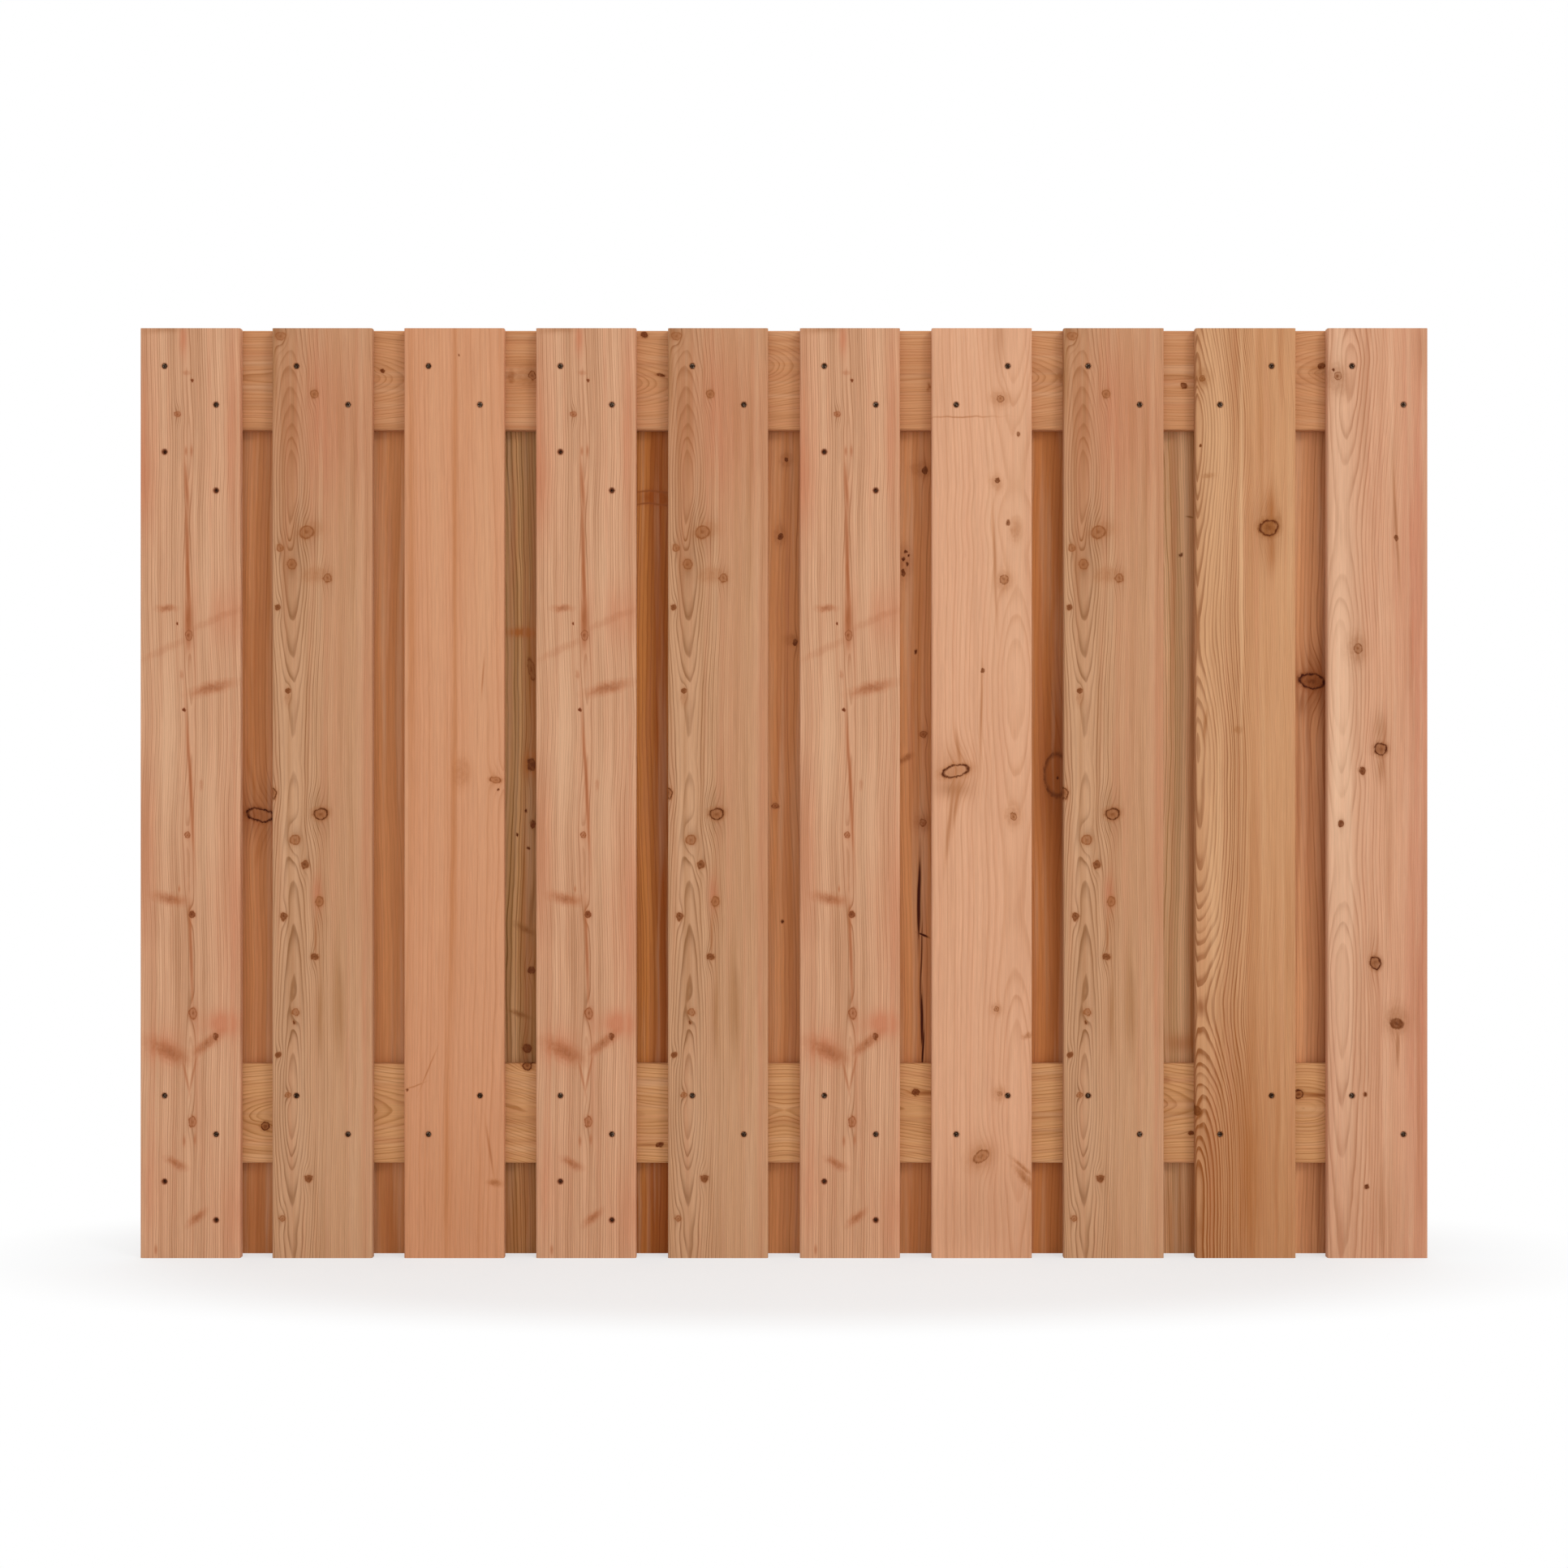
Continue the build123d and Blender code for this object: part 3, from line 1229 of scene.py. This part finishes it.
@dataclass(frozen=True)
class DullSteel:
    """Stainless steel of the screws: cold headed, tumbled dull, dark brown with lighter flecks.

    Attributes:
        dark_steel: the dark brown colour of most of the steel.
        fleck_steel: colour of the lighter flecks.
        speck: size of the flecks, in mm.
    """

    dark_steel: str = "3a2416"
    fleck_steel: str = "8a7462"
    speck: float = 1.6

    def build(self) -> bpy.types.Material:
        """Make the material.

        Returns:
            The material.
        """
        material = bpy.data.materials.new("stainless_steel")
        material.use_nodes = True
        add = NodeGraph(material.node_tree).add
        place = add("TexCoord", out=3)
        speckle = add("TexNoise", place, None, 1 / (self.speck * MM), 2.0)
        tone = add("MapRange", speckle, 0.52, 0.66, 0.0, 1.0)
        colour = add("Mix", tone, named={6: linear(self.dark_steel), 7: linear(self.fleck_steel)}, data_type="RGBA", out=2)
        rough = add("MapRange", speckle, 0.3, 0.7, 0.6, 0.35)
        add("OutputMaterial", add("BsdfPrincipled", colour, 1.0, rough))
        return material


@dataclass(frozen=True)
class WhitePaint:
    """Matt white floor paint, rolled on, which turns to plain white away from the panel.

    Attributes:
        dark: colour where the roller left less.
        light: colour where it left more.
        mottle: size of the roller's marks, in mm.
        reach: half of the area round the panel that takes its shadow, in metres along and in front.
        lift: how far the shadow is lightened to the eye.
    """

    dark: str = "dedede"
    light: str = "e6e6e6"
    mottle: float = 300.0
    reach: tuple[float, float] = (1.05, 0.4)
    lift: float = 0.6

    def build(self) -> bpy.types.Material:
        """Make the material.

        Returns:
            The material.
        """
        material = bpy.data.materials.new("white_paint")
        material.use_nodes = True
        graph = NodeGraph(material.node_tree)
        add = graph.add
        place = add("TexCoord", out=3)
        marks = add("TexNoise", place, None, 1 / (self.mottle * MM), 2.0)
        colour = add("Mix", marks, named={6: linear(self.dark), 7: linear(self.light)}, data_type="RGBA", out=2)
        surface = add("BsdfPrincipled", colour, 0.0, 0.9)
        spread = add("VectorMath", place, (1 / self.reach[0], 1 / self.reach[1], 0.0), operation="MULTIPLY")
        distance = add("VectorMath", spread, spread, operation="DOT_PRODUCT", out=1)
        far = add("MapRange", distance, 0.5, 1.4, self.lift, 1.0, interpolation_type="SMOOTHSTEP")
        white = add("Math", far, seen(graph), operation="MULTIPLY")
        glow = add("Emission", (1.0, 1.0, 1.0, 1.0), 1.0)
        add("OutputMaterial", add("MixShader", white, surface, glow))
        return material


def seen(graph: NodeGraph) -> bpy.types.NodeSocket:
    """Whether a ray shows the surround, from the camera or by way of metal.

    Args:
        graph: the graph of the surround or the floor.

    Returns:
        A socket with 1 for such a ray and 0 for any other.
    """
    rays = graph.add("LightPath").node.outputs
    either = graph.add("Math", rays["Is Camera Ray"], rays["Is Glossy Ray"], operation="MAXIMUM")
    return graph.add("Math", either, rays["Is Transmission Ray"], operation="MAXIMUM")


@dataclass(frozen=True)
class BoardRow:
    """One row of upright boards.

    Attributes:
        side: which row.
        figures: the figure of each set of like boards, by their numbers from the left.
        turned: numbers of the boards that were screwed on once before, the other way up.
        sunk_mark: size of the dark disc round a screw, in mm: partly crushed, darkened wood, partly painted shade in
            the countersunk recess.
    """

    side: Side
    figures: dict[tuple[int, ...], Figure]
    turned: tuple[int, ...] = ()
    sunk_mark: float = 7.0

    def node(self, number: int) -> str:
        """Name of a board's CAD node."""
        return f"{self.side.value}_board_{number:02d}"

    def screw_marks(self, number: int, spots: list[tuple[float, float]]) -> tuple[Knot, ...]:
        """Marks of a board's screws, and of the holes that it has from before: dark discs, partly crushed wood and
        partly painted shade in the recesses.

        Args:
            number: the board's number.
            spots: all screws of the row, along and up the panel in metres.

        Returns:
            The marks.
        """
        low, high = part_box(self.node(number))
        middle = (low + high) / 2
        marks = []
        for x, z in spots:
            if low.x < x < high.x:
                across, along = (x - middle.x) / MM, (z - low.z) / MM
                # a dark disc at the screw: partly crushed wood, partly painted shade in its countersunk recess
                marks.append(Knot(across, along, self.sunk_mark, self.sunk_mark, CRUSH_AND_SHADE))
                if number in self.turned:
                    # the same dark disc, partly painted shade, at the old hole from when the board was the other way
                    # up
                    back = (high.z - low.z) / MM - along
                    marks.append(Knot(-across, back, self.sunk_mark, self.sunk_mark, CRUSH_AND_SHADE))
        return tuple(marks)

    def dress(self, solids: dict[str, bpy.types.Object], spots: list[tuple[float, float]]) -> None:
        """Give every board its finish.

        Args:
            solids: the CAD nodes' objects by name.
            spots: all screws of the row, along and up the panel in metres.
        """
        low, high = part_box(self.node(1))
        pitch = (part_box(self.node(2))[0].x - low.x) / MM
        face = 0.0 if self.side is Side.FRONT else (high.y - low.y) / MM
        for numbers, figure in self.figures.items():
            figure = replace(figure, knots=figure.knots + self.screw_marks(numbers[0], spots))
            nodes = tuple(self.node(number) for number in numbers)
            Timber(nodes, figure, pitch=pitch, face=face).dress(solids)


@dataclass(frozen=True)
class RailPair:
    """The two lying rails.

    Attributes:
        figures: the figure of each rail.
    """

    figures: dict[Height, Figure]

    def dress(self, solids: dict[str, bpy.types.Object]) -> None:
        """Give both rails their finish.

        Args:
            solids: the CAD nodes' objects by name.
        """
        for height, figure in self.figures.items():
            Timber((f"{height.value}_rail",), figure, lying=True).dress(solids)


@dataclass(frozen=True)
class ScrewSet:
    """The countersunk screws that hold one row of boards to one rail, with sizes in mm.

    Attributes:
        side: which row.
        height: which rail.
        head_radius: at the rim of the head.
        shank_radius: below the head.
        tip_radius: at the end of the point.
        point: length of the tapered point.
        rim: height of the worn rim of the head.
        recess_radius: middle radius of the star recess.
        recess_floor: radius of its floor, as a share of that.
        recess_depth: its depth.
        lobe: how far its lobes swing in and out, as a share of the radius.
        lobes: number of lobes.
        segments: steps round the screw.
    """

    side: Side
    height: Height
    head_radius: float = 3.5
    shank_radius: float = 2.0
    tip_radius: float = 0.5
    point: float = 5.0
    rim: float = 0.15
    recess_radius: float = 1.55
    recess_floor: float = 0.85
    recess_depth: float = 1.4
    lobe: float = 0.14
    lobes: int = 6
    segments: int = 36

    def node(self) -> str:
        """Name of the CAD node."""
        return f"{self.side.value}_{self.height.value}_screws"

    def spots(self, mesh: bpy.types.Mesh) -> list[tuple[float, float]]:
        """Where the screws stand, as the CAD solids have it.

        Args:
            mesh: the CAD node's mesh.

        Returns:
            The middle of each solid along and up the panel, in metres.
        """
        near = 3 * self.head_radius * MM
        groups: list[list[Vector]] = []
        for vertex in mesh.vertices:
            place = Vector((vertex.co.x, vertex.co.z))
            home = next((group for group in groups if (group[0] - place).length < near), None)
            if home is None:
                groups.append([place])
            else:
                home.append(place)
        middles = []
        for group in groups:
            xs, zs = [place.x for place in group], [place.y for place in group]
            middles.append(((min(xs) + max(xs)) / 2, (min(zs) + max(zs)) / 2))
        return middles

    def single(self, length: float) -> bpy.types.Mesh:
        """One screw along +Y in millimetres, with the top of its head on the XZ plane.

        Args:
            length: from the head to the end of the point.

        Returns:
            The mesh.
        """
        cone = self.head_radius - self.shank_radius
        outline = (
            (0.0, self.recess_depth),
            (self.recess_radius * self.recess_floor, self.recess_depth),
            (self.recess_radius, 0.0),
            (self.head_radius - self.rim, 0.0),
            (self.head_radius, self.rim),
            (self.shank_radius, cone + self.rim),
            (self.shank_radius, length - self.point),
            (self.tip_radius, length),
            (0.0, length),
        )
        shape = bmesh.new()
        points = [shape.verts.new((radius, distance, 0.0)) for radius, distance in outline]
        edges = [shape.edges.new(pair) for pair in zip(points, points[1:])]
        bmesh.ops.spin(
            shape,
            geom=points + edges,
            cent=(0.0, 0.0, 0.0),
            axis=(0.0, 1.0, 0.0),
            angle=2 * math.pi,
            steps=self.segments,
            use_merge=True,
        )
        bmesh.ops.remove_doubles(shape, verts=shape.verts, dist=TOUCHING)
        for vertex in shape.verts:
            radius = math.hypot(vertex.co.x, vertex.co.z)
            if vertex.co.y <= self.recess_depth and 0 < radius <= self.recess_radius + TOUCHING:
                swing = 1 + self.lobe * math.cos(self.lobes * math.atan2(vertex.co.z, vertex.co.x))
                vertex.co.x *= swing
                vertex.co.z *= swing
        bmesh.ops.recalc_face_normals(shape, faces=shape.faces)
        mesh = bpy.data.meshes.new("single_screw")
        shape.to_mesh(mesh)
        shape.free()
        return mesh

    def build(self, solid: bpy.types.Object, metal: bpy.types.Material) -> bpy.types.Object:
        """Model the screws in the place of the CAD solids.

        Args:
            solid: the CAD node's object.
            metal: the finish.

        Returns:
            The piece.
        """
        low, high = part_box(self.node())
        single = self.single((high.y - low.y) / MM)
        from_front = self.side is Side.FRONT
        turn = Matrix.Identity(4) if from_front else Matrix.Rotation(math.pi, 4, "Z")
        shape = bmesh.new()
        for x, z in self.spots(solid.data):
            start = len(shape.verts)
            shape.from_mesh(single)
            shape.verts.ensure_lookup_table()
            place = Matrix.Translation((x, low.y if from_front else high.y, z))
            bmesh.ops.transform(shape, matrix=place @ turn @ Matrix.Scale(MM, 4), verts=shape.verts[start:])
        mesh = bpy.data.meshes.new(f"{self.node()}_turned")
        shape.to_mesh(mesh)
        shape.free()
        bpy.data.meshes.remove(single)
        mesh.materials.append(metal)
        piece = bpy.data.objects.new(mesh.name, mesh)
        bpy.context.scene.collection.objects.link(piece)
        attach(piece, BODY)
        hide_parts(self.node())
        LOG.info("%s: %d faces", piece.name, len(mesh.polygons))
        return piece


@dataclass(frozen=True)
class Studio:
    """Camera, light and ground round the panel, in metres.

    Attributes:
        camera_distance: from the panel's front face to the camera.
        camera_height: above the ground.
        lens: focal length, in mm on a sensor of the width below.
        sensor: width of the sensor, in mm.
        floor_size: side of the floor.
        sky: brightness of the even light from all round.
        key_energy: power of the key light, in watts.
        key_size: side of the key light.
        key_place: where the key light hangs.
        key_aim: what it is turned to.
    """

    camera_distance: float = 3.044
    camera_height: float = 0.6628
    lens: float = 50.0
    sensor: float = 36.0
    floor_size: float = 40.0
    sky: float = 0.95
    key_energy: float = 130.0
    key_size: float = 2.0
    key_place: tuple[float, float, float] = (4.6, -5.0, 5.4)
    key_aim: tuple[float, float, float] = (0.0, 0.0, 0.65)

    def build(self) -> None:
        """Put up the camera, the lights, the floor and the white surround."""
        bpy.context.scene.view_settings.view_transform = "Standard"
        self.camera()
        self.key()
        self.surround()
        self.floor()

    def camera(self) -> None:
        """A camera straight in front of the panel."""
        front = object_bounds()[0][1]
        data = bpy.data.cameras.new("camera")
        data.lens = self.lens
        data.sensor_width = self.sensor
        camera = bpy.data.objects.new("camera", data)
        camera.location = (0.0, front - self.camera_distance, self.camera_height)
        camera.rotation_euler = (math.pi / 2, 0.0, 0.0)
        bpy.context.scene.collection.objects.link(camera)
        bpy.context.scene.camera = camera

    def key(self) -> None:
        """A wide soft light in front, above and to the right."""
        data = bpy.data.lights.new("key", "AREA")
        data.shape = "SQUARE"
        data.size = self.key_size
        data.energy = self.key_energy
        light = bpy.data.objects.new("key", data)
        place = Vector(self.key_place)
        aim = Vector(self.key_aim) - place
        light.matrix_world = Matrix.Translation(place) @ aim.to_track_quat("-Z", "Y").to_matrix().to_4x4()
        bpy.context.scene.collection.objects.link(light)

    def surround(self) -> None:
        """An even white surround that the camera sees as plain white."""
        world = bpy.data.worlds.new("white_surround")
        world.use_nodes = True
        bpy.context.scene.world = world
        graph = NodeGraph(world.node_tree)
        level = graph.add("MapRange", seen(graph), 0.0, 1.0, self.sky, 1.0)
        light = graph.add("Background", (1.0, 1.0, 1.0, 1.0), level)
        graph.add("OutputWorld", light)

    def floor(self) -> None:
        """A plain pale floor, white to the camera apart from the panel's shadow."""
        mesh = bpy.data.meshes.new("floor")
        shape = bmesh.new()
        bmesh.ops.create_grid(shape, x_segments=1, y_segments=1, size=self.floor_size / 2)
        shape.to_mesh(mesh)
        shape.free()
        mesh.materials.append(WhitePaint().build())
        floor = bpy.data.objects.new("floor", mesh)
        bpy.context.scene.collection.objects.link(floor)
        floor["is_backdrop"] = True
        LOG.info("%s: %d face", floor.name, len(mesh.polygons))


FRONT_ROW = BoardRow(Side.FRONT, FRONT_FIGURES, turned=(1, 4, 6))
BACK_ROW = BoardRow(Side.BACK, BACK_FIGURES)
RAILS = RailPair({Height.TOP: TOP_RAIL_FIGURE, Height.BOTTOM: BOTTOM_RAIL_FIGURE})


def main() -> None:
    """Dress the panel and put it in the studio."""
    logging.basicConfig(level=logging.INFO)
    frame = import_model()
    solids = frame["nodes"]
    metal = DullSteel().build()
    for row in (FRONT_ROW, BACK_ROW):
        sets = [ScrewSet(row.side, height) for height in Height]
        spots = [spot for screws in sets for spot in screws.spots(solids[screws.node()].data)]
        row.dress(solids, spots)
        for screws in sets:
            screws.build(solids[screws.node()], metal)
    RAILS.dress(solids)
    Studio().build()


if __name__ == "__main__":
    main()
